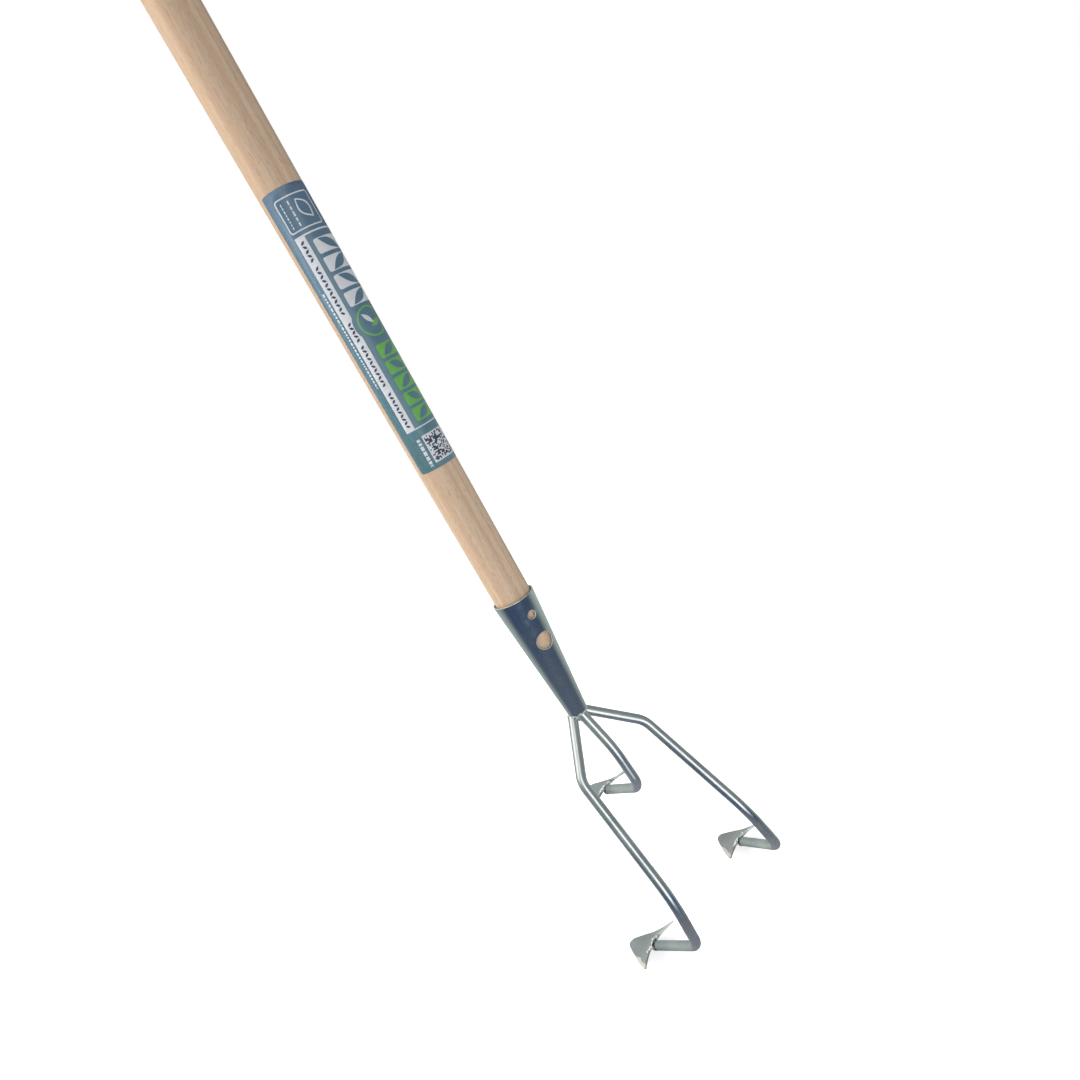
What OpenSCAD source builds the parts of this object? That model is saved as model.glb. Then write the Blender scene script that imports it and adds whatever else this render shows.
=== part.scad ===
// Long-handled hand cultivator: a round wooden handle driven into a conical steel socket,
// three round steel tines welded to the socket's narrow end, and a small dished goose-foot
// blade welded to the hooked end of each tine.
// Millimetres. +Z runs up the handle, -Y is the side with the socket's two holes, and the
// origin is on the handle's axis in the plane of the socket's mouth.

/* [Handle] */
// diameter of the wooden handle
handle_d = 28; // [26:0.5:30]
// handle showing above the socket, dome included
handle_out = 1536; // [900:1:1700]
// height of the rounded top
dome_h = 9; // [4:0.5:13]
// depth the wood reaches inside the socket
tenon_depth = 64; // [50:1:80]

/* [Label] */
// distance from the socket's mouth to the label's lower end
label_z = 107; // [60:1:400]
// length of the label along the handle
label_len = 176; // [150:1:300]
// angle of handle that the label covers
label_wrap = 210; // [90:5:300]
// direction of the label's middle, measured from +X towards +Y
label_turn = -67; // [-180:1:180]
// thickness of the printed film
label_t = 0.15; // [0.1:0.05:0.3]

/* [Socket] */
// outside diameter of the socket's mouth
mouth_d = 32; // [31:0.5:34]
// outside diameter of the socket's narrow end
end_d = 16; // [14:0.5:18]
// length of the conical socket
socket_len = 106; // [95:1:120]
// thickness of the socket's sheet steel
sheet_t = 1.5; // [1:0.1:2]
// length of the closed plug at the narrow end
plug_len = 12; // [6:1:16]
// diameter of the small upper hole
hole_small_d = 7; // [4:0.5:8]
// diameter of the large lower hole
hole_large_d = 14; // [8:0.5:14]
// distance of the small hole below the mouth
hole_small_z = 14; // [10:0.5:18]
// distance of the large hole below the mouth
hole_large_z = 37; // [32:0.5:44]
// turn of the two holes about the handle's axis
hole_turn = -4; // [-10:1:10]

/* [Tines] */
// diameter of the round steel rod
rod_d = 8; // [7:0.5:9]
// centreline radius of the bend at the shoulder
shoulder_r = 20; // [12:1:24]
// centreline radius of the long forward curve
sweep_r = 60; // [40:5:80]
// centreline radius of the hook at the bottom
hook_r = 13; // [9:1:16]

/* [Blades] */
// thickness of the blade's plate
plate_t = 2; // [1.5:0.1:3]
// width of a blade across its two wing tips
blade_w = 45; // [38:1:48]
// distance from the back edge to the blade's nose
blade_nose = 36; // [32:1:42]
// how far the wing tips are swept back behind the weld
tip_sweep = 7; // [2:0.5:9]
// half the width of the straight back edge where the rod is welded
weld_land = 7.5; // [7:0.5:9]
// radius of the rounded nose
nose_r = 6; // [3:0.5:8]
// radius of the plate's curl from its back edge to its nose
curl_r = 66; // [40:1:90]
// radius of the droop from the middle to the wing tips
droop_r = 78; // [50:1:110]
// distance from the back edge to the plate's lowest cross line
crest_y = 9; // [4:0.5:14]
// tilt of the plate's nose about its back edge
blade_pitch = -8; // [-16:1:6]
// height of the plate's middle above the rod's axis
blade_lift = 1.6; // [0.5:0.1:3]
// radius of the weld bead round a rod's end
bead_r = 1.9; // [1.2:0.1:2.4]
// how far the side edges bow outward
side_bow = 1.5; // [0:0.5:3]

/* [Hidden] */
$fn = 96;
eps = 0.02;
// a rod's joints: gap between a straight stretch and its bend, and the ball's extra radius
joint_gap = 0.2;
joint_step = 0.03;
// gap between the end of a rod and the back edge of its plate
weld_gap = 0.8;

handle_r = handle_d / 2;
rod_r = rod_d / 2;
// inside radius of the socket at a depth below its mouth
function bore_r(depth) = mouth_d / 2 - sheet_t - (mouth_d - end_d) / 2 * depth / socket_len;
// gap left between pieces that touch, so that no two solids overlap
fit_gap = 0.03;

// Corner points of each tine's centreline: root, shoulder, forward sweep, hook, weld.
root_z = -socket_len - 3;
tine_left_pts = [[-4.7, 3.2, root_z], [-37, -20, -143], [-49, -79, -230],
                 [-48.5, -77, -282], [-56, -23.5, -305.3]];
tine_middle_pts = [[0, -3.6, root_z], [0, -22, -141], [0, -28.8, -179], [0, 25.5, -198.5]];
tine_right_pts = [[4.7, 3.2, root_z], [37, -20, -143], [46.5, -78.5, -233],
                  [57.5, -79.5, -281.5], [63.2, -26, -303.8]];
outer_bends = [shoulder_r, sweep_r, hook_r];
middle_bends = [sweep_r, hook_r];
// each blade's roll about its hook, yaw and slip to one side: they are welded on by hand
seat_left = [3, -1, 0.5];
seat_middle = [0, 3, 3.4];
seat_right = [3, 3, 2.2];

steel = [0.50, 0.53, 0.55];
zinc = [0.56, 0.60, 0.58];
weld = [0.72, 0.73, 0.72];
ash = [0.80, 0.67, 0.49];
film = [0.25, 0.41, 0.47];

// ---- vectors -------------------------------------------------------------------------
function unit(v) = v / norm(v);
function span(pts, i) = unit(pts[i + 1] - pts[i]);
// distance from a corner to where its bend begins
function setback(pts, i, r) =
  r * tan(acos(max(-1, min(1, span(pts, i - 1) * span(pts, i)))) / 2);

// turns +Z to the direction d
module aim(d) {
  rotate([0, acos(d[2]), atan2(d[1], d[0])]) children();
}

// places the local axes x, y, z on three unit vectors at the point p
module frame_at(p, x, y, z) {
  multmatrix([[x[0], y[0], z[0], p[0]], [x[1], y[1], z[1], p[1]],
              [x[2], y[2], z[2], p[2]], [0, 0, 0, 1]]) children();
}

// ---- rods ----------------------------------------------------------------------------
// A straight stretch stops a little short of each bend, and a ball a hair larger than the
// rod closes the gap.
module straight(pts, bends, i) {
  last = len(pts) - 2;
  d = span(pts, i);
  start = i == 0 ? pts[i] : pts[i] + d * (setback(pts, i, bends[i - 1]) + joint_gap);
  stop = i == last ? pts[i + 1] : pts[i + 1] - d * (setback(pts, i + 1, bends[i]) + joint_gap);
  translate(start) aim(d) cylinder(r = rod_r, h = norm(stop - start));
}

module bend(pts, i, r) {
  before = span(pts, i - 1);
  after = span(pts, i);
  turn = acos(before * after);
  normal = unit(cross(before, after));
  inward = cross(normal, before);
  start = pts[i] - before * setback(pts, i, r);
  stop = pts[i] + after * setback(pts, i, r);
  // the arc's centre is one radius inward of its first point
  frame_at(start + inward * r, -inward, before, normal)
    rotate_extrude(angle = turn) translate([r, 0]) circle(r = rod_r);
  for (p = [start - before * joint_gap / 2, stop + after * joint_gap / 2])
    translate(p) sphere(r = rod_r + joint_step);
}

module rod(pts, bends) {
  for (i = [0 : len(pts) - 2]) straight(pts, bends, i);
  for (i = [1 : len(pts) - 2]) bend(pts, i, bends[i - 1]);
}

// ---- parts ---------------------------------------------------------------------------
module handle() {
  crown = handle_r - dome_h;
  color(ash) difference() {
    union() {
      cylinder(r = handle_r, h = handle_out - dome_h);
      translate([0, 0, handle_out - dome_h - eps]) rotate_extrude() {
        square([crown, dome_h + eps]);
        intersection() {
          translate([crown, eps]) circle(r = dome_h);
          square([handle_r, dome_h + eps]);
        }
      }
      translate([0, 0, -tenon_depth])
        cylinder(r1 = bore_r(tenon_depth) - fit_gap, r2 = handle_r, h = tenon_depth);
    }
    // the film is let into the wood by its own thickness, which keeps the handle true
    translate([0, 0, -fit_gap]) label_ring(handle_r - label_t - fit_gap, label_t + 2, 2 * fit_gap);
  }
}

// the label's sector of a ring: inner radius, thickness and extra length
module label_ring(r, t, extra = 0) {
  grow = extra / handle_r * 180 / PI;
  translate([0, 0, label_z]) rotate([0, 0, label_turn - (label_wrap + grow) / 2])
    rotate_extrude(angle = label_wrap + grow) translate([r, 0]) square([t, label_len + extra]);
}

module label() {
  color(film) label_ring(handle_r - label_t, label_t);
}

module socket() {
  color(steel) difference() {
    translate([0, 0, -socket_len]) cylinder(d1 = end_d, d2 = mouth_d, h = socket_len);
    translate([0, 0, -socket_len + plug_len])
      cylinder(r1 = bore_r(socket_len - plug_len), r2 = bore_r(0), h = socket_len - plug_len);
    translate([0, 0, -eps]) cylinder(r = bore_r(0), h = 1);
    rotate([0, 0, hole_turn]) {
      translate([0, 0, -hole_small_z]) rotate([90, 0, 0]) cylinder(d = hole_small_d, h = mouth_d);
      translate([0, 0, -hole_large_z]) rotate([90, 0, 0]) cylinder(d = hole_large_d, h = mouth_d);
    }
  }
}

module tine_left() {
  color(steel) rod(tine_left_pts, outer_bends);
}

module tine_middle() {
  color(steel) rod(tine_middle_pts, middle_bends);
}

module tine_right() {
  color(steel) rod(tine_right_pts, outer_bends);
}

// weld metal that closes the socket's narrow end and holds the three rods
module root_weld() {
  color(weld) difference() {
    union() {
      translate([0, 0, -socket_len - 3.6]) cylinder(r1 = 5, r2 = end_d / 2 - 0.4, h = 3.57);
      for (root = [tine_left_pts, tine_middle_pts, tine_right_pts])
        translate(root[0] + [0, 0, 0.8]) sphere(r = 5.2, $fn = 40);
    }
    translate([0, 0, -socket_len - fit_gap]) cylinder(r = end_d, h = 20);
    rod_sleeve(tine_left_pts);
    rod_sleeve(tine_middle_pts);
    rod_sleeve(tine_right_pts);
  }
}

// a rod's first stretch, a little oversize, to cut its seat into the weld
module rod_sleeve(pts) {
  d = span(pts, 0);
  translate(pts[0] - d * fit_gap) aim(d) cylinder(r = rod_r + fit_gap, h = 16);
}

// ---- blades --------------------------------------------------------------------------
// points on the arc about c from angle a to angle b
function arc(c, r, a, b, n) = [for (i = [0 : n]) c + r * [cos(a + (b - a) * i / n), sin(a + (b - a) * i / n)]];
// a side edge from p to q, bowed outward by h at its middle
function bowed(p, q, h, n) =
  let (out = unit([q[1] - p[1], p[0] - q[0]]) * h)
  [for (i = [1 : n - 1]) let (t = i / n) p + (q - p) * t - out * 4 * t * (1 - t)];

// outline of the plate seen from above, nose towards +Y, weld at the origin
module blade_plan() {
  tip = [blade_w / 2, -tip_sweep];
  nose = arc([0, blade_nose - nose_r], nose_r, 90, 25, 6);
  half = concat(nose, bowed(nose[6], tip + [0, 3], side_bow, 12), [tip + [0, 3], tip]);
  left = [for (i = [len(half) - 1 : -1 : 1]) [-half[i][0], half[i][1]]];
  polygon(concat([[-weld_land, 0]], left, half, [[weld_land, 0]]));
}

// Goose-foot plate in its own axes: x across, y towards the nose, z up the handle. It curls
// up towards the nose and droops at its wings, so it is cut from the inner side of a ring.
module blade() {
  ring_r = curl_r + droop_r;
  color(zinc) intersection() {
    translate([0, 0, -30]) linear_extrude(60) blade_plan();
    translate([0, crest_y, curl_r]) rotate([90, 0, 90]) rotate([0, 0, -160])
      rotate_extrude(angle = 140) intersection() {
        translate([ring_r, 0]) difference() {
          circle(r = droop_r + plate_t / 2);
          circle(r = droop_r - plate_t / 2);
        }
        translate([0, -blade_w]) square([ring_r - droop_r / 2, 2 * blade_w]);
      }
  }
}

// places a blade, or its weld, on the end of a tine's centreline
module on_hook(pts, roll = 0) {
  u = span(pts, len(pts) - 2);
  w = unit(cross(u, [0, 0, 1]));
  n = cross(w, u);
  across = w * cos(roll) + n * sin(roll);
  up = n * cos(roll) - w * sin(roll);
  frame_at(pts[len(pts) - 1], across, u, up) children();
}

module seated_blade(pts, seat) {
  on_hook(pts, seat[0]) translate([seat[2], weld_gap, blade_lift])
    rotate([blade_pitch, 0, seat[1]]) blade();
}

// collar of weld round the rod's end, behind the plate's back edge
module blade_weld() {
  color(weld) translate([0, -bead_r, 0]) rotate([90, 0, 0]) difference() {
    rotate_extrude() translate([rod_r + bead_r / 2, 0]) circle(r = bead_r);
    translate([0, 0, -20]) cylinder(r = rod_r + fit_gap, h = 40);
  }
}

module blade_left() { seated_blade(tine_left_pts, seat_left); }
module blade_middle() { seated_blade(tine_middle_pts, seat_middle); }
module blade_right() { seated_blade(tine_right_pts, seat_right); }
module blade_weld_left() { on_hook(tine_left_pts) blade_weld(); }
module blade_weld_middle() { on_hook(tine_middle_pts) blade_weld(); }
module blade_weld_right() { on_hook(tine_right_pts) blade_weld(); }

handle();
label();
socket();
tine_left();
tine_middle();
tine_right();
root_weld();
blade_left();
blade_middle();
blade_right();
blade_weld_left();
blade_weld_middle();
blade_weld_right();
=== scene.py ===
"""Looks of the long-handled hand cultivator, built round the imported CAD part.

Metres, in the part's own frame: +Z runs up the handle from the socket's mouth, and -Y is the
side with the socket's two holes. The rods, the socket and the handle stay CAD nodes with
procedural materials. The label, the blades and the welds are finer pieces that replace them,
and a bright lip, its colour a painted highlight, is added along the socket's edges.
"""

import math
import random

import bmesh
import bpy
import numpy as np
from mathutils import Matrix, Vector, geometry, kdtree, noise


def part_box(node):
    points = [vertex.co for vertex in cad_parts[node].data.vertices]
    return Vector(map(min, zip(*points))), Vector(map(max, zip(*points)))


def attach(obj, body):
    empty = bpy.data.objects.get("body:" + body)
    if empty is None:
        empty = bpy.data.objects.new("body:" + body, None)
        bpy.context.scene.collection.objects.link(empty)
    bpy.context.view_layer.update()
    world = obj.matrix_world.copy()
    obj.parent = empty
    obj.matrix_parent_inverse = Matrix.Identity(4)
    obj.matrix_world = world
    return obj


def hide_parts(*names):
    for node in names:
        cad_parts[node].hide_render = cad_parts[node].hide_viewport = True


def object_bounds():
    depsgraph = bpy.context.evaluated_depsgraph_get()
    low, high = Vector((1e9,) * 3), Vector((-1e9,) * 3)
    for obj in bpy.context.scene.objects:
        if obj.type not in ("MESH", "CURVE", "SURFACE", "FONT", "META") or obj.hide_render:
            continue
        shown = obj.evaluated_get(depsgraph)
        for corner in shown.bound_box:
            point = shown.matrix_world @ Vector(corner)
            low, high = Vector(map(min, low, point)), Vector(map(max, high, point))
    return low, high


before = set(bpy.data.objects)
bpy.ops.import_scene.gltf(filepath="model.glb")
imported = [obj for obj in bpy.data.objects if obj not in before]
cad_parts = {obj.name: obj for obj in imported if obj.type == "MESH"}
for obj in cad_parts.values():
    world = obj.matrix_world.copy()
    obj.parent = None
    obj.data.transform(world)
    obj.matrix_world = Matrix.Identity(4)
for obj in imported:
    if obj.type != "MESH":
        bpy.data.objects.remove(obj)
cad_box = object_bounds()
MM = 0.001

# ---- sizes -----------------------------------------------------------------------------
HANDLE_R = 14 * MM
LABEL_TURN = math.radians(-67)
LABEL_WRAP = math.radians(210)
FILM_RISE = 0.10 * MM
FILM_MARGIN = 0.3 * MM
# where the artwork starts, in mm above and to the right of the film's top left corner
ART_ABOVE = 3.0
ART_RIGHT = 2.44

# ---- camera ----------------------------------------------------------------------------
CAMERA_AT = Vector((-0.2299, -0.4639, 0.1716))
CAMERA_AZIMUTH = math.radians(29.05)
CAMERA_DOWN = math.radians(22.27)
CAMERA_ROLL = math.radians(28.77)
CAMERA_LENS = 25.115
CAMERA_SHIFT = (-0.0251, 0.0797)


def view_axes():
    """The camera's right, up and forward directions."""
    flat = math.cos(CAMERA_DOWN)
    forward = Vector((math.sin(CAMERA_AZIMUTH) * flat,
                      math.cos(CAMERA_AZIMUTH) * flat,
                      -math.sin(CAMERA_DOWN)))
    level = Vector((math.cos(CAMERA_AZIMUTH), -math.sin(CAMERA_AZIMUTH), 0))
    rise = level.cross(forward)
    right = level * math.cos(CAMERA_ROLL) - rise * math.sin(CAMERA_ROLL)
    up = level * math.sin(CAMERA_ROLL) + rise * math.cos(CAMERA_ROLL)
    return right, up, forward


def add_camera():
    """The photo's viewpoint, fitted to the tool's outline."""
    right, up, forward = view_axes()
    data = bpy.data.cameras.new("camera")
    data.sensor_width = 36
    data.lens = CAMERA_LENS
    data.shift_x, data.shift_y = CAMERA_SHIFT
    data.clip_start = 0.01
    camera = bpy.data.objects.new("camera", data)
    facing = Matrix((right, up, -forward)).transposed().to_4x4()
    camera.matrix_world = Matrix.Translation(CAMERA_AT) @ facing
    bpy.context.scene.collection.objects.link(camera)
    bpy.context.scene.camera = camera


# ---- shader helpers --------------------------------------------------------------------
class Nodes:
    """A node tree, with short calls that add a node and link or set its inputs."""

    def __init__(self, tree):
        self.tree = tree

    def feed(self, node, inputs):
        for key, value in inputs.items():
            if isinstance(value, bpy.types.NodeSocket):
                self.tree.links.new(value, node.inputs[key])
            else:
                node.inputs[key].default_value = value

    def add(self, kind, inputs=None, **settings):
        node = self.tree.nodes.new("ShaderNode" + kind)
        for key, value in settings.items():
            setattr(node, key, value)
        self.feed(node, inputs or {})
        return node

    def math(self, operation, *values):
        return self.add("Math", dict(enumerate(values)), operation=operation).outputs[0]

    def vector(self, operation, *values):
        return self.add("VectorMath", dict(enumerate(values)), operation=operation).outputs

    def share(self, value, start, end, easing="LINEAR"):
        """Zero where a value is at start, and one where it is at end."""
        inputs = {"Value": value, "From Min": start, "From Max": end}
        return self.add("MapRange", inputs, interpolation_type=easing).outputs["Result"]

    def ramp(self, value, *stops):
        """Colour or grey stops as (position, colour) along a value."""
        node = self.add("ValToRGB", {"Fac": value})
        ramp = node.color_ramp
        while len(ramp.elements) < len(stops):
            ramp.elements.new(0.5)
        for element, (position, colour) in zip(ramp.elements, stops):
            element.position = position
            element.color = (*(colour if isinstance(colour, tuple) else (colour,) * 3), 1)
        return node.outputs["Color"]

    def mix(self, factor, first, second, blend="MIX"):
        """A blend of two colours, each an RGB tuple or another node's output."""
        inputs = {0: factor}
        for index, colour in ((6, first), (7, second)):
            inputs[index] = (*colour, 1) if isinstance(colour, tuple) else colour
        return self.add("Mix", inputs, data_type="RGBA", blend_type=blend).outputs[2]


class Shader(Nodes):
    """A node material, with short calls for its patterns, its bump and its surface."""

    def __init__(self, name, **surface):
        self.material = bpy.data.materials.new(name)
        self.material.use_nodes = True
        super().__init__(self.material.node_tree)
        self.surface = self.tree.nodes["Principled BSDF"]
        self.feed(self.surface, {key.replace("_", " "): value for key, value in surface.items()})
        self.object = self.add("TexCoord").outputs["Object"]

    def stretched(self, x, y, z, offset=(0, 0, 0)):
        """Object coordinates scaled along each axis, so a small scale draws a pattern out."""
        inputs = {"Vector": self.object, "Scale": (x, y, z), "Location": offset}
        return self.add("Mapping", inputs).outputs["Vector"]

    def noise(self, vector, scale, detail=2.0, roughness=0.5):
        inputs = {"Vector": vector, "Scale": scale, "Detail": detail, "Roughness": roughness}
        return self.add("TexNoise", inputs).outputs["Fac"]

    def near(self, point, inner, outer):
        """One within inner of a point, falling to zero at outer."""
        away = self.vector("DISTANCE", self.object, point)["Value"]
        return self.share(away, outer, inner, "SMOOTHSTEP")

    def bump(self, height, depth, strength=1.0, under=None):
        inputs = {"Height": height, "Distance": depth, "Strength": strength}
        if under is not None:
            inputs["Normal"] = under
        return self.add("Bump", inputs).outputs["Normal"]

    def finish(self, colour, roughness, normal):
        self.feed(self.surface, {"Base Color": colour, "Roughness": roughness, "Normal": normal})
        return self.material


# ---- materials -------------------------------------------------------------------------
def ash_wood():
    """Sanded pale wood: soft growth bands, fine straight fibres and short dark pores."""
    s = Shader("ash_wood", Specular_IOR_Level=0.35)
    along = s.stretched(1, 1, 0.035)
    rings = s.add("TexWave", {"Vector": s.stretched(1, 1, 0.02, (0.021, 0.034, 0)), "Scale": 62.0,
                              "Distortion": 3.2, "Detail": 2.0, "Detail Scale": 1.4},
                  wave_type="RINGS", rings_direction="Z").outputs["Fac"]
    broad = s.noise(along, 38, 2)
    fibre = s.noise(s.stretched(1, 1, 0.02), 1500, 3, 0.6)
    pores = s.noise(s.stretched(1, 1, 0.11), 2300, 2, 0.5)
    colour = s.ramp(broad, (0.32, (0.446, 0.306, 0.212)), (0.50, (0.516, 0.370, 0.262)),
                    (0.70, (0.564, 0.416, 0.303)))
    colour = s.mix(s.ramp(rings, (0.40, 0.0), (0.95, 0.42)), colour, (0.395, 0.247, 0.165))
    colour = s.mix(s.ramp(fibre, (0.40, 0.32), (0.60, 0.0)), colour, (0.350, 0.230, 0.145))
    colour = s.mix(s.ramp(pores, (0.34, 0.50), (0.42, 0.0)), colour, (0.245, 0.160, 0.100))
    roughness = s.ramp(fibre, (0.3, 0.66), (0.7, 0.52))
    normal = s.bump(fibre, 0.00005, 0.5, s.bump(pores, 0.00008, 0.35))
    return s.finish(colour, roughness, normal)


def plated(name, dark, light, tint, roughness, drawn_out=1.0):
    """Zinc-plated steel: cloudy plating, faint passivation tints and fine drawn lines.

    A small drawn_out makes the clouds and tints into lengthwise streaks.
    """
    s = Shader(name, Metallic=1.0)
    cloud = s.noise(s.stretched(1, 1, drawn_out), 55, 4, 0.6)
    hue = s.noise(s.stretched(1, 1, drawn_out), 60 * (1.3 - drawn_out) + 5, 2)
    drawn = s.noise(s.stretched(1, 1, 0.03), 1900, 2, 0.6)
    speck = s.noise(s.object, 900, 2, 0.6)
    colour = s.ramp(cloud, (0.30, dark), (0.68, light))
    colour = s.mix(s.ramp(hue, (0.42, 0.0), (0.66, 0.55)), colour, tint)
    colour = s.mix(s.ramp(speck, (0.30, 0.35), (0.42, 0.0)), colour, tuple(0.55 * c for c in dark))
    low, high = roughness
    rough = s.ramp(s.noise(s.object, 120, 4, 0.65), (0.32, low), (0.70, high))
    normal = s.bump(drawn, 0.00002, 0.35, s.bump(speck, 0.00003, 0.35))
    return s, colour, rough, normal


def socket_steel():
    """The rolled socket: blue-cast plating in soft lengthwise streaks."""
    s, colour, rough, normal = plated("socket_steel", (0.42, 0.47, 0.50), (0.56, 0.61, 0.60),
                                      (0.42, 0.52, 0.63), (0.16, 0.26), 0.16)
    return s.finish(colour, rough, normal)


def lip_highlight():
    """Painted highlight: a pale colour along the sheet's edge at the socket's mouth and holes."""
    s, colour, rough, normal = plated("lip_highlight", (0.78, 0.77, 0.72), (0.93, 0.90, 0.80),
                                      (0.88, 0.88, 0.80), (0.30, 0.45))
    s.feed(s.surface, {"Metallic": 0.6})
    return s.finish(colour, rough, normal)


# where a rod's look changes round a point: all of it within the first distance, none of it
# past the second. The change near the root is partly a painted highlight, and the one in the
# gap at the weld is painted shade
HOOK_CAST = (12 * MM, 50 * MM)
ROOT_SOFT_AND_HIGHLIGHT = (30 * MM, 95 * MM)
DULL_RUN = (36 * MM, 58 * MM)
CREVICE_SHADE = (4.3 * MM, 5.0 * MM)


def rod_steel(name, bend, weld_end):
    """A rod's plating, with a violet cast at its hook and a dull grey-green run to its blade,
    and a painted highlight near the socket and painted shade in the gap at the weld.
    """
    s, colour, rough, normal = plated(name, (0.44, 0.48, 0.52), (0.67, 0.70, 0.70),
                                      (0.58, 0.61, 0.61), (0.23, 0.34))
    hooked = s.near(bend, *HOOK_CAST)
    colour = s.mix(s.math("MULTIPLY", hooked, 0.7), colour, (0.440, 0.435, 0.500))
    s.feed(s.surface, {"Metallic": s.math("SUBTRACT", 1.0, s.math("MULTIPLY", hooked, 0.15))})
    # softer near the socket, and a painted highlight there: the colour a little paler and warmer
    root = s.near((0, 0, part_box("socket")[0].z), *ROOT_SOFT_AND_HIGHLIGHT)
    colour = s.mix(s.math("MULTIPLY", root, 0.6), colour, (0.72, 0.74, 0.71))
    rough = s.mix(root, rough, (0.31, 0.31, 0.31))
    dull = s.near(weld_end, *DULL_RUN)
    clouds = s.ramp(s.noise(s.object, 60, 3), (0.35, (0.54, 0.60, 0.61)),
                    (0.65, (0.65, 0.69, 0.66)))
    colour = s.mix(dull, colour, clouds)
    rough = s.mix(dull, rough, (0.46, 0.46, 0.46))
    # painted shade: a ragged dark patch darkens the gap between the rod's end and the weld
    ragged = s.ramp(s.noise(s.object, 420, 3), (0.40, 0.25), (0.55, 1.0))
    crevice_shade = s.math("MULTIPLY", s.near(weld_end, *CREVICE_SHADE), ragged)
    colour = s.mix(crevice_shade, colour, (0.05, 0.06, 0.07))
    return s.finish(colour, rough, normal)


def blade_steel():
    """Dull plated plate; the ground bevels carry bright bare steel with fine scratches."""
    s, colour, rough, normal = plated("blade_steel", (0.62, 0.64, 0.61), (0.78, 0.79, 0.73),
                                      (0.64, 0.69, 0.78), (0.42, 0.56))
    ground = s.add("Attribute", attribute_name="ground").outputs["Fac"]
    scratch = s.noise(s.stretched(0.08, 1, 1), 1600, 3, 0.7)
    bare = s.ramp(scratch, (0.35, (0.64, 0.60, 0.55)), (0.65, (0.80, 0.76, 0.70)))
    colour = s.mix(ground, colour, bare)
    rough = s.mix(ground, rough, (0.30, 0.30, 0.30))
    s.feed(s.surface, {"Metallic": s.math("SUBTRACT", 1.0, s.math("MULTIPLY", ground, 0.5))})
    return s.finish(colour, rough, normal)


def weld_metal():
    """Bright uneven weld, with painted shade darkening its pits."""
    s, colour, rough, normal = plated("weld_metal", (0.80, 0.81, 0.80), (0.96, 0.96, 0.94),
                                      (0.80, 0.86, 0.82), (0.25, 0.45))
    s.feed(s.surface, {"Metallic": 0.55})
    ripple = s.noise(s.object, 620, 3, 0.7)
    # painted shade: the low points of the ripple, its pits, are darkened
    colour = s.mix(s.ramp(ripple, (0.38, 0.95), (0.48, 0.0)), colour, (0.04, 0.05, 0.06))
    return s.finish(colour, rough, s.bump(ripple, 0.0006, 0.8, normal))


def film(name, upper, lower, roughness):
    """One ink of the printed film: slightly mottled, with a colour that drifts along the label."""
    s = Shader(name, Specular_IOR_Level=0.6)
    low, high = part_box("label")
    height = s.add("SeparateXYZ", {"Vector": s.object}).outputs["Z"]
    drift = s.share(height, low.z, high.z)
    mottle = s.noise(s.object, 240, 4, 0.6)
    colour = s.mix(drift, lower, upper)
    colour = s.mix(s.ramp(mottle, (0.35, 0.10), (0.65, 0.0)), colour, (0, 0, 0))
    grain = s.noise(s.object, 3000, 2, 0.6)
    rough = s.ramp(mottle, (0.3, roughness), (0.7, roughness + 0.10))
    return s.finish(colour, rough, s.bump(grain, 0.00002, 0.3))


# ---- label -----------------------------------------------------------------------------
# The film is laid out flat in millimetres: s runs down from its upper end and t runs round the
# handle from its left edge. Shapes are painted in order, later ones over earlier ones.
TEAL, WHITE, GREEN, DARK = range(4)
# each ink's name, its colour at the film's upper and lower ends, and its roughness
INKS = (
    ("film_teal", (0.078, 0.134, 0.205), (0.082, 0.180, 0.212), 0.34),
    ("film_white", (0.55, 0.55, 0.58), (0.56, 0.57, 0.60), 0.42),
    ("film_green", (0.115, 0.340, 0.075), (0.125, 0.370, 0.070), 0.40),
    ("film_dark", (0.040, 0.055, 0.120), (0.035, 0.045, 0.085), 0.40),
)
# the badge's leaf, the ring's middle, and the first corner of the square of random cells
BADGE_LEAF = (16.6, 19.2)
RING = (84.5, 21.6)
SQUARE = (158.2, 12.4)
# how many cells the square has to a side, and a cell's size
CELLS = 19
CELL = 0.9
# the bold blocks: their length, and how far the pale and the green ones lie apart
BLOCK = 8.4
PALE_STEP = 10.6
GREEN_STEP = 10.5
# rows of small leaves on the pale stripe: where each starts, how many it has, and their step
LEAF_ROWS = ((32.4, 5), (47.2, 12), (81.2, 5), (95.6, 11), (126.4, 10))
LEAF_STEP = 2.45
# strips that the film is cut into round the handle, and its thickness
FILM_STRIPS = 80
FILM_T = 0.16 * MM


def rectangle(s0, s1, t0, t1, corner=0.0):
    """A rectangle whose corners are rounded to a radius."""
    if not corner:
        return [(s0, t0), (s1, t0), (s1, t1), (s0, t1)]
    points = []
    for s, t, start in ((s1, t0, -90), (s1, t1, 0), (s0, t1, 90), (s0, t0, 180)):
        cs = s - corner if s == s1 else s + corner
        ct = t - corner if t == t1 else t + corner
        for step in range(5):
            a = math.radians(start + 22.5 * step)
            points.append((cs + corner * math.cos(a), ct + corner * math.sin(a)))
    return points


def oval(s, t, rs, rt, steps=36):
    """An oval of two radii round its middle."""
    angles = [math.tau * k / steps for k in range(steps)]
    return [(s + rs * math.cos(a), t + rt * math.sin(a)) for a in angles]


def leaf(s, t, length, width, turn):
    """A pointed oval."""
    points = []
    for side in (1, -1):
        for k in range(10):
            along = (k / 10 - 0.5) * side
            across = -side * width / 2 * math.cos(math.pi * along)
            x = along * length
            points.append((s + x * math.cos(turn) - across * math.sin(turn),
                           t + x * math.sin(turn) + across * math.cos(turn)))
    return points


def marks(rng, s0, s1, t0, t1, shortest, longest, gap):
    """A row of plain dashes of uneven length, where a line of print would be."""
    row = []
    s = s0
    while s < s1:
        end = min(s + rng.uniform(shortest, longest), s1)
        row.append(rectangle(s, end, t0, t1))
        s = end + gap
    return row


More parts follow.
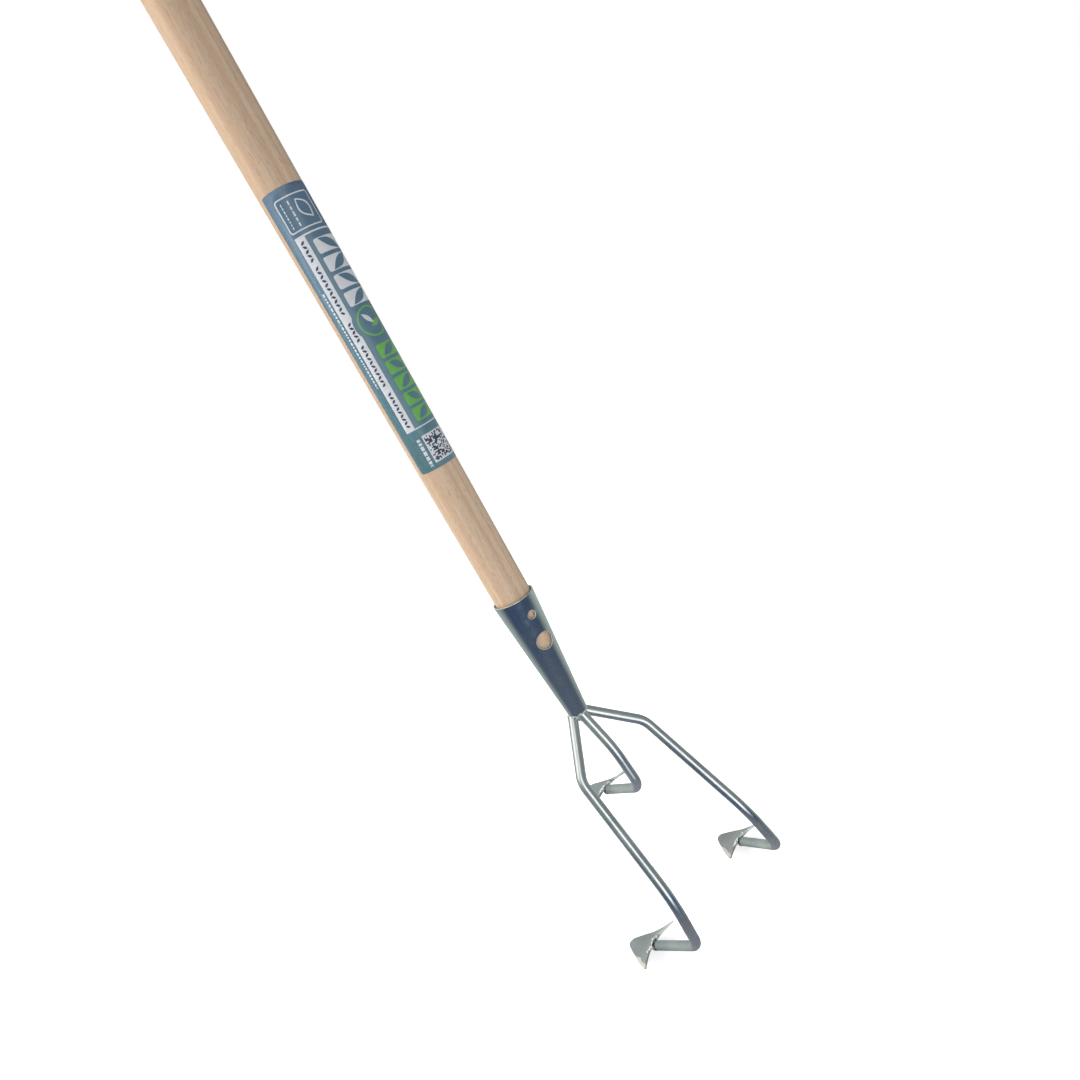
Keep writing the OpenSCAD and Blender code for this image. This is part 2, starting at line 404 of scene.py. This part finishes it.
def block(ink, s, length, t0, t1, lean):
    """A bold block with a leaf cut out of it, where one large printed character would be."""
    cut = leaf(s + length / 2, (t0 + t1) / 2, 0.80 * (t1 - t0), 0.60 * length, math.pi / 2 + lean)
    return [(ink, rectangle(s, s + length, t0, t1, 1.2)), (TEAL, cut)]


def label_design(width, length):
    """The film's shapes as (ink, outline), the film's own outline first."""
    rng = random.Random(7)
    art = []
    # badge with a leaf
    art += [(WHITE, rectangle(8.0, 26.6, 4.0, 27.0, 1.8))]
    art += [(TEAL, rectangle(8.7, 25.9, 4.7, 26.3, 1.3))]
    art += [(WHITE, leaf(*BADGE_LEAF, 13, 8.2, 0.5)), (TEAL, leaf(*BADGE_LEAF, 11, 6.2, 0.5))]
    art += [(WHITE, m) for m in marks(rng, 10.6, 24.4, 11.4, 12.3, 1.6, 3.4, 0.8)]
    art += [(WHITE, m) for m in marks(rng, 10.6, 24.4, 7.0, 7.7, 0.9, 2.2, 0.6)]
    # panel line and the pale stripe down the left, with rows of small leaves on it
    art += [(WHITE, rectangle(28.7, 152.2, 4.2, 45.0)), (TEAL, rectangle(29.6, 151.5, 10.6, 44.2))]
    art += [(TEAL, oval(*RING, 12.4, 12.6))]
    for start, count in LEAF_ROWS:
        for k in range(count):
            lean = 1.0 if k % 2 else -1.0
            art.append((DARK, leaf(start + LEAF_STEP * k, 7.5, 3.2, 1.5, lean)))
    art += [(WHITE, m) for m in marks(rng, 60, 120, 1.7, 2.9, 0.8, 2.2, 0.7)]
    # bold pale blocks, a green ring with a leaf, bold green blocks
    for k in range(4):
        art += block(WHITE, 33.2 + PALE_STEP * k, BLOCK, 13.4, 33.4, 0.5 if k % 2 else -0.5)
    art += [(GREEN, oval(*RING, 9.2, 9.6)), (TEAL, oval(*RING, 8.2, 8.6))]
    art += [(GREEN, leaf(86.0, 24.0, 9.0, 3.4, 1.9)), (WHITE, leaf(82.5, 19.5, 9.0, 3.0, 0.7))]
    for k in range(5):
        art += block(GREEN, 98.2 + GREEN_STEP * k, BLOCK, 14.6, 31.0, -0.5 if k % 2 else 0.5)
    # a square of random cells and a row of dashes beside it
    art.append((WHITE, rectangle(157.4, 176.2, 11.6, 30.4)))
    for i in range(CELLS):
        for j in range(CELLS):
            if rng.random() < 0.5:
                s, t = SQUARE[0] + CELL * i, SQUARE[1] + CELL * j
                art.append((DARK, rectangle(s, s + CELL, t, t + CELL)))
    art += [(WHITE, m) for m in marks(rng, 158.4, 177.0, 7.4, 9.6, 1.4, 3.0, 0.8)]
    placed = [(ink, [(s - ART_ABOVE, t + ART_RIGHT) for s, t in outline]) for ink, outline in art]
    return [(TEAL, rectangle(0, length, 0, width, 2.6))] + placed


def cut_film(width, length):
    """Cuts the flat film into tiles, each with the ink of the last shape painted over it."""
    points, edges, faces, inks = [], [], [], []
    for ink, outline in label_design(width, length):
        first = len(points)
        points += [Vector(p) for p in outline]
        faces.append(list(range(first, len(points))))
        inks.append(ink)
    for k in range(1, FILM_STRIPS):
        t = width * k / FILM_STRIPS
        points += [Vector((-1, t)), Vector((length + 1, t))]
        edges.append((len(points) - 2, len(points) - 1))
    flat, _, tiles, _, _, sources = geometry.delaunay_2d_cdt(points, edges, faces, 1, 1e-5, True)
    kept = [(list(tile), inks[max(source)]) for tile, source in zip(tiles, sources) if source]
    return flat, kept


def make_label():
    """Wraps the printed film on the handle: one thin sheet whose faces carry their own ink."""
    low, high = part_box("label")
    turn = LABEL_WRAP + 2 * FILM_MARGIN / HANDLE_R
    start = LABEL_TURN - turn / 2
    top = high.z + FILM_MARGIN
    length = (high.z - low.z + 2 * FILM_MARGIN) / MM
    flat, kept = cut_film(turn * HANDLE_R / MM, length)
    r = HANDLE_R + FILM_RISE
    places = []
    for s, t in flat:
        a = start + t * MM / HANDLE_R
        places.append((r * math.cos(a), r * math.sin(a), top - s * MM))
    mesh = bpy.data.meshes.new("label_film")
    mesh.from_pydata(places, [], [tile for tile, _ in kept])
    for ink in INKS:
        mesh.materials.append(film(*ink))
    for polygon, (_, ink) in zip(mesh.polygons, kept):
        polygon.material_index = ink
        polygon.use_smooth = True
    piece = new_piece("label_print", mesh)
    tidy_up(piece)
    thick = piece.modifiers.new("thickness", "SOLIDIFY")
    thick.thickness = FILM_T
    thick.offset = -1
    settle(piece, "label")


# ---- mesh helpers ----------------------------------------------------------------------
def new_piece(name, mesh):
    """Puts a mesh in the scene as one object."""
    piece = bpy.data.objects.new(name, mesh)
    bpy.context.scene.collection.objects.link(piece)
    return piece


def tidy_up(piece):
    """Merges doubled points and turns every face outward."""
    bm = bmesh.new()
    bm.from_mesh(piece.data)
    bmesh.ops.remove_doubles(bm, verts=bm.verts, dist=1e-6)
    bmesh.ops.dissolve_degenerate(bm, edges=bm.edges, dist=1e-7)
    bmesh.ops.recalc_face_normals(bm, faces=bm.faces)
    bm.to_mesh(piece.data)
    bm.free()


def apply_modifiers(piece):
    """Bakes a piece's modifiers into its mesh."""
    evaluated = piece.evaluated_get(bpy.context.evaluated_depsgraph_get())
    mesh = bpy.data.meshes.new_from_object(evaluated)
    piece.modifiers.clear()
    piece.data = mesh


def remeshed(piece, voxel):
    """Gives a piece one closed, evenly divided skin."""
    modifier = piece.modifiers.new("skin", "REMESH")
    modifier.mode = "VOXEL"
    modifier.voxel_size = voxel
    modifier.use_smooth_shade = True
    apply_modifiers(piece)


def settle(piece, node):
    """Hangs a piece on the root body in place of its CAD node."""
    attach(piece, "root")
    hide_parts(node)


def points_and_normals(mesh):
    """Every vertex's place and normal, read before any of them moves."""
    return [(v.co.copy(), v.normal.copy()) for v in mesh.vertices]


def move_points(mesh, places):
    """Moves every vertex to its new place."""
    mesh.vertices.foreach_set("co", np.array([c for p in places for c in p], np.float32))
    mesh.update()


def cad_points(node):
    """A CAD node's vertices, one row each."""
    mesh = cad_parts[node].data
    flat = np.zeros(len(mesh.vertices) * 3)
    mesh.vertices.foreach_get("co", flat)
    return flat.reshape(-1, 3)


def thinnest_axis(points, weights):
    """The direction in which a cloud of points spreads least, and the cloud's middle."""
    middle = (points * weights[:, None]).sum(0) / weights.sum()
    spread = (points - middle) * np.sqrt(weights)[:, None]
    return Vector(np.linalg.svd(spread, full_matrices=False)[2][2]), Vector(middle)


def blade_axes(side):
    """A blade's middle and its own axes: across, towards its nose and up off its face."""
    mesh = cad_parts["blade_" + side].data
    areas = np.array([p.area for p in mesh.polygons])
    centres = np.array([p.center for p in mesh.polygons])
    lift, middle = thinnest_axis(centres, areas)
    lift = lift if lift.z > 0 else -lift
    # the weld is a ring round the rod's end, so its thin direction points at the nose
    ring = cad_points("blade_weld_" + side)
    rod, _ = thinnest_axis(ring, np.ones(len(ring)))
    rod = rod if rod.y > 0 else -rod
    nose = (rod - lift * rod.dot(lift)).normalized()
    return middle, nose.cross(lift), nose, lift


# ---- blades ----------------------------------------------------------------------------
BEVEL = 3.6 * MM
BEVEL_DEPTH = 0.9 * MM
HALF_BLADE = 22.5 * MM
BLADE_VOXEL = 0.42 * MM
DENTS = 0.08 * MM
# the bevel fades in from this share of the half blade, over this much more of it
BEVEL_FROM = 0.42
BEVEL_OVER = 0.16
# how steeply a face may lean and still belong to the plate's upper side or to its rim
UPPER_LEAN = 0.25
RIM_LEAN = 0.45
BACK_EDGE = -0.55


def make_blade(side, material):
    """The plate of the CAD blade with softened edges and a bevel ground on its upper face."""
    node = "blade_" + side
    piece = new_piece(node + "_plate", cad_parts[node].data.copy())
    tidy_up(piece)
    middle, across, nose, lift = blade_axes(side)
    # the rim: CAD faces that stand between the plate's two sides, leaving out the back edge
    rim = [p.center.copy() for p in piece.data.polygons
           if abs(p.normal.dot(lift)) < RIM_LEAN and p.normal.dot(nose) > BACK_EDGE]
    tree = kdtree.KDTree(len(rim))
    for k, centre in enumerate(rim):
        tree.insert(centre, k)
    tree.balance()
    remeshed(piece, BLADE_VOXEL)
    mesh = piece.data
    ground, places = [], []
    for place, normal in points_and_normals(mesh):
        away = tree.find(place)[2]
        upper = normal.dot(lift) > UPPER_LEAN
        wing = abs((place - middle).dot(across)) / HALF_BLADE
        worn = min(1.0, max(0.0, (wing - BEVEL_FROM) / BEVEL_OVER))
        reach = BEVEL * worn * (1 + 0.5 * noise.noise(place * 150))
        share = max(0.0, 1 - away / reach) if upper and worn else 0.0
        ground.append(1.0 if share > 0.02 else 0.0)
        dent = normal * DENTS * noise.noise(place * 400)
        places.append(place - lift * BEVEL_DEPTH * share + dent)
    move_points(mesh, places)
    mesh.attributes.new("ground", "FLOAT", "POINT").data.foreach_set("value", ground)
    soften = piece.modifiers.new("soften", "SMOOTH")
    soften.iterations = 2
    soften.factor = 0.5
    apply_modifiers(piece)
    piece.data.materials.clear()
    piece.data.materials.append(material)
    settle(piece, node)


# ---- welds and lips --------------------------------------------------------------------
# the bead along a blade's back edge, the ring round its rod, and the root's puddles and rim
SEAM_STEPS = 26
SEAM_LENGTH = 15 * MM
RING_STEPS = 18
RING_R = 3.3 * MM
ROOT_CORE = 5.6 * MM
PUDDLES = 34
RIM_LUMPS = 30
# the lip's radius, how far its middle lies below the socket's skin, and its balls' spacing
LIP_R = 0.38 * MM
LIP_DEPTH = 0.50 * MM
LIP_STEP = 0.4 * MM


def bead(name, balls, voxel, roughness, seed, fineness=3):
    """Skins a run of overlapping balls into one lumpy bead."""
    bm = bmesh.new()
    for centre, radius in balls:
        place = Matrix.Translation(centre)
        bmesh.ops.create_icosphere(bm, subdivisions=fineness, radius=radius, matrix=place)
    mesh = bpy.data.meshes.new(name)
    bm.to_mesh(mesh)
    bm.free()
    piece = new_piece(name, mesh)
    remeshed(piece, voxel)
    shift = Vector((seed, 0, 0))
    places = []
    for place, normal in points_and_normals(piece.data):
        bump = noise.fractal(place * 900 + shift, 0.8, 2.0, 3)
        places.append(place + normal * roughness * bump)
    move_points(piece.data, places)
    return piece


def make_blade_weld(side, material):
    """A ragged bead along the blade's back edge, lapping over the end of the rod."""
    rng = random.Random("weld" + side)
    _, across, nose, lift = blade_axes(side)
    collar = Vector(cad_points("blade_weld_" + side).mean(0))
    edge = [Vector(p) for p in cad_points("blade_" + side)]
    balls = []
    for k in range(SEAM_STEPS + 1):
        x = (k / SEAM_STEPS - 0.5) * SEAM_LENGTH
        near = [p for p in edge if abs((p - collar).dot(across) - x) < 1.2 * MM]
        back = min(near, key=lambda p: (p - collar).dot(nose) - 0.2 * (p - collar).dot(lift))
        size = rng.uniform(0.7, 1.5) * (1.15 - 0.5 * abs(2 * k / SEAM_STEPS - 1))
        jitter = Vector([rng.uniform(-0.55, 0.55) for _ in range(3)]) * MM
        balls.append((back + jitter, size * MM))
    for k in range(RING_STEPS):
        a = math.tau * k / RING_STEPS
        ring = collar + (across * math.cos(a) + lift * math.sin(a)) * RING_R + nose * 2.6 * MM
        balls.append((ring, rng.uniform(0.8, 1.3) * MM))
    piece = bead("blade_bead_" + side, balls, 0.28 * MM, 0.28 * MM, rng.random() * 50)
    piece.data.materials.append(material)
    settle(piece, "blade_weld_" + side)


def make_root_weld(material):
    """Weld puddles between the three rods where they leave the socket's narrow end."""
    rng = random.Random(31)
    low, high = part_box("root_weld")
    points = cad_points("root_weld")
    middle = (low + high) / 2
    outer = [Vector(p) for p in points if (Vector(p) - middle).length > 4 * MM]
    balls = [(middle + Vector((0, 0, -0.2 * MM)), ROOT_CORE)]
    for k in range(PUDDLES):
        p = rng.choice(outer)
        balls.append((middle + (p - middle) * rng.uniform(0.70, 0.88), rng.uniform(0.9, 1.5) * MM))
    # a ragged rim of weld along the socket's end
    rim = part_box("socket")[0].z
    for k in range(RIM_LUMPS):
        a = math.tau * (k + rng.uniform(-0.3, 0.3)) / RIM_LUMPS
        out = rng.uniform(6.9, 7.5) * MM
        centre = Vector((out * math.cos(a), out * math.sin(a), rim - rng.uniform(0.0, 0.8) * MM))
        balls.append((centre, rng.uniform(0.6, 1.2) * MM))
    piece = bead("root_bead", balls, 0.40 * MM, 0.35 * MM, 3.0)
    piece.data.materials.append(material)
    settle(piece, "root_weld")


def make_lips(material):
    """A thin rounded lip just inside the sheet's edge at the socket's mouth and its two holes."""
    low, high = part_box("socket")
    bm = bmesh.new()
    bm.from_mesh(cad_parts["socket"].data)
    bmesh.ops.remove_doubles(bm, verts=bm.verts, dist=1e-6)
    balls = []
    for edge in bm.edges:
        middle = (edge.verts[0].co + edge.verts[1].co) / 2
        share = (middle.z - low.z) / (high.z - low.z)
        radius = Vector((middle.x, middle.y)).length
        # the narrow end is half as wide as the mouth
        skin = high.x * (1 + share) / 2
        sharp = len(edge.link_faces) == 2 and edge.calc_face_angle() > 0.8
        if not sharp or abs(radius - skin) > 0.12 * MM or share < 0.1:
            continue
        steps = max(1, math.ceil(edge.calc_length() / LIP_STEP))
        inward = Vector((middle.x, middle.y, 0)).normalized() * LIP_DEPTH
        for k in range(steps):
            balls.append((edge.verts[0].co.lerp(edge.verts[1].co, k / steps) - inward, LIP_R))
    bm.free()
    piece = bead("socket_lips", balls, 0.2 * MM, 0.05 * MM, 9.0, 1)
    piece.data.materials.append(material)
    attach(piece, "root")


# ---- carried CAD nodes -----------------------------------------------------------------
def dress(node, material):
    """Gives a CAD node a new material and leaves its mesh alone."""
    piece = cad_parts[node]
    for slot in piece.material_slots:
        slot.material = material


# how far the middle of a hook's rod lies in from the rod's lowest front corner
HOOK_IN = 6 * MM


def dress_cad_nodes():
    """The handle, the socket and the three rods."""
    dress("handle", ash_wood())
    dress("socket", socket_steel())
    for side in ("left", "middle", "right"):
        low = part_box("tine_" + side)[0]
        weld_low, weld_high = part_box("blade_weld_" + side)
        weld_end = (weld_low + weld_high) / 2
        # the hook is the rod's lowest front corner, level with the middle of its run to the blade
        bend = Vector((weld_end.x, low.y + HOOK_IN, weld_end.z + HOOK_IN))
        dress("tine_" + side, rod_steel("rod_steel_" + side, bend, weld_end))


# ---- stage -----------------------------------------------------------------------------
FLOOR_R = 3.5


def pale_floor():
    """A pale disc under the tool that fades out into the white surroundings."""
    s = Shader("floor", Roughness=0.9, Specular_IOR_Level=0.1)
    glow = {"Emission Color": (1, 1, 1, 1), "Emission Strength": 0.62}
    s.feed(s.surface, {"Base Color": (0.86, 0.86, 0.86, 1), **glow})
    clear = s.add("BsdfTransparent")
    fade = s.near((0, 0, cad_box[0].z), 0.5, 3.2)
    mixed = s.add("MixShader", {0: fade, 1: clear.outputs[0], 2: s.surface.outputs[0]})
    output = s.tree.nodes["Material Output"]
    s.tree.links.new(mixed.outputs[0], output.inputs["Surface"])
    return s.material


def add_floor():
    """Lays the disc just under the lowest blade, out of the steel's reflections."""
    bm = bmesh.new()
    bmesh.ops.create_circle(bm, cap_ends=True, segments=96, radius=FLOOR_R)
    mesh = bpy.data.meshes.new("floor")
    bm.to_mesh(mesh)
    bm.free()
    floor = new_piece("floor", mesh)
    floor.location.z = cad_box[0].z - 0.5 * MM
    mesh.materials.append(pale_floor())
    floor.visible_glossy = False


# the pale table below eye level, from the far side (0) to the dark camera side (1)
AROUND = (
    (0.0, (0.44, 0.48, 0.47)),
    (0.07, (0.62, 0.67, 0.62)),
    (0.26, (0.58, 0.63, 0.58)),
    (0.45, (0.38, 0.43, 0.41)),
    (0.58, (0.15, 0.19, 0.23)),
    (0.69, (0.068, 0.106, 0.195)),
    (1.0, (0.064, 0.100, 0.190)),
)
UNDERFOOT = (0.27, 0.28, 0.31)
# the room above it, from straight down (0) past level (0.5) to straight up (1)
ROOM = (
    (0.50, (0.38, 0.41, 0.40)),
    (0.64, (0.33, 0.36, 0.36)),
    (0.80, (0.28, 0.30, 0.32)),
    (1.0, (0.38, 0.40, 0.39)),
)
ROOM_RIGHT = (0.25, 0.27, 0.28)
# where each of these gives way to the next, on the same scale or along the direction
UNDERFOOT_FADE = (0.27, 0.14)
RIGHT_FADE = (0.15, 0.8)
LEVEL_FADE = (0.46, 0.56)
PANEL_FADE = (0.935, 0.985)
# the tall white panel: its direction, and its brightness by height on the same scale
PANEL_SIDE = (-0.37, -0.93, 0)
PANEL_HEIGHT = (
    (0.345, (0, 0, 0)),
    (0.385, (1.9, 1.95, 1.9)),
    (0.92, (1.9, 1.95, 1.9)),
    (0.97, (0, 0, 0)),
)


def add_world():
    """White all round and a dark studio on the camera's side, which the upright steel mirrors."""
    world = bpy.data.worlds.new("studio")
    bpy.context.scene.world = world
    world.use_nodes = True
    world.node_tree.nodes.clear()
    w = Nodes(world.node_tree)
    forward = view_axes()[2]
    camera_side = Vector((-forward.x, -forward.y, 0)).normalized()
    where = w.add("TexCoord").outputs["Generated"]
    level = w.vector("NORMALIZE", w.vector("MULTIPLY", where, (1, 1, 0))["Vector"])["Vector"]
    axes = w.add("SeparateXYZ", {"Vector": where}).outputs
    height = w.share(axes["Z"], -1.0, 1.0)
    towards = w.share(w.vector("DOT_PRODUCT", level, camera_side)["Value"], -1.0, 1.0)
    below = w.mix(w.share(height, *UNDERFOOT_FADE), w.ramp(towards, *AROUND), UNDERFOOT)
    above = w.mix(w.share(axes["X"], *RIGHT_FADE), w.ramp(height, *ROOM), ROOM_RIGHT)
    mirrored = w.mix(w.share(height, *LEVEL_FADE), below, above)
    # a tall white panel in front of the tool draws the white line along each leaning rod
    facing = w.share(w.vector("DOT_PRODUCT", level, PANEL_SIDE)["Value"], *PANEL_FADE)
    panel = w.mix(facing, (0, 0, 0), w.ramp(height, *PANEL_HEIGHT))
    mirrored = w.mix(1.0, mirrored, panel, "ADD")
    lit = w.add("Background", {"Color": mirrored}).outputs[0]
    seen = w.add("Background", {"Color": (1, 1, 1, 1)}).outputs[0]
    ray = w.add("LightPath").outputs["Is Camera Ray"]
    w.add("OutputWorld", {"Surface": w.add("MixShader", {0: ray, 1: lit, 2: seen}).outputs[0]})


LIGHT_AIM = Vector((0, -0.03, -0.05))


def softbox(name, at, size, power, colour=(1, 1, 1)):
    """An area light that faces the tool's head."""
    data = bpy.data.lights.new(name, "AREA")
    data.shape = "RECTANGLE"
    data.size, data.size_y = size
    data.energy = power
    data.color = colour
    light = bpy.data.objects.new(name, data)
    light.location = at
    light.rotation_euler = (LIGHT_AIM - Vector(at)).to_track_quat("-Z", "Y").to_euler()
    bpy.context.scene.collection.objects.link(light)
    return light


def add_lights():
    """A key light that the steel does not mirror, a fill and a top light, all from softboxes."""
    key = softbox("key", (-1.3, 0.75, 0.95), (0.7, 1.5), 29, (1.0, 1.0, 0.95))
    key.visible_glossy = False
    softbox("fill", (-1.1, 0.5, 1.3), (1.4, 1.4), 9, (1.0, 0.99, 0.92))
    softbox("top", (0.1, 0.2, 1.9), (1.2, 1.2), 13)


# ---- build -----------------------------------------------------------------------------
def build():
    """The stage first, then the carried CAD nodes, then the pieces that replace the others."""
    bpy.context.scene.view_settings.view_transform = "Standard"
    add_camera()
    add_world()
    add_lights()
    add_floor()
    dress_cad_nodes()
    make_label()
    plate, metal = blade_steel(), weld_metal()
    for side in ("left", "middle", "right"):
        make_blade(side, plate)
        make_blade_weld(side, metal)
    make_root_weld(metal)
    make_lips(lip_highlight())


build()
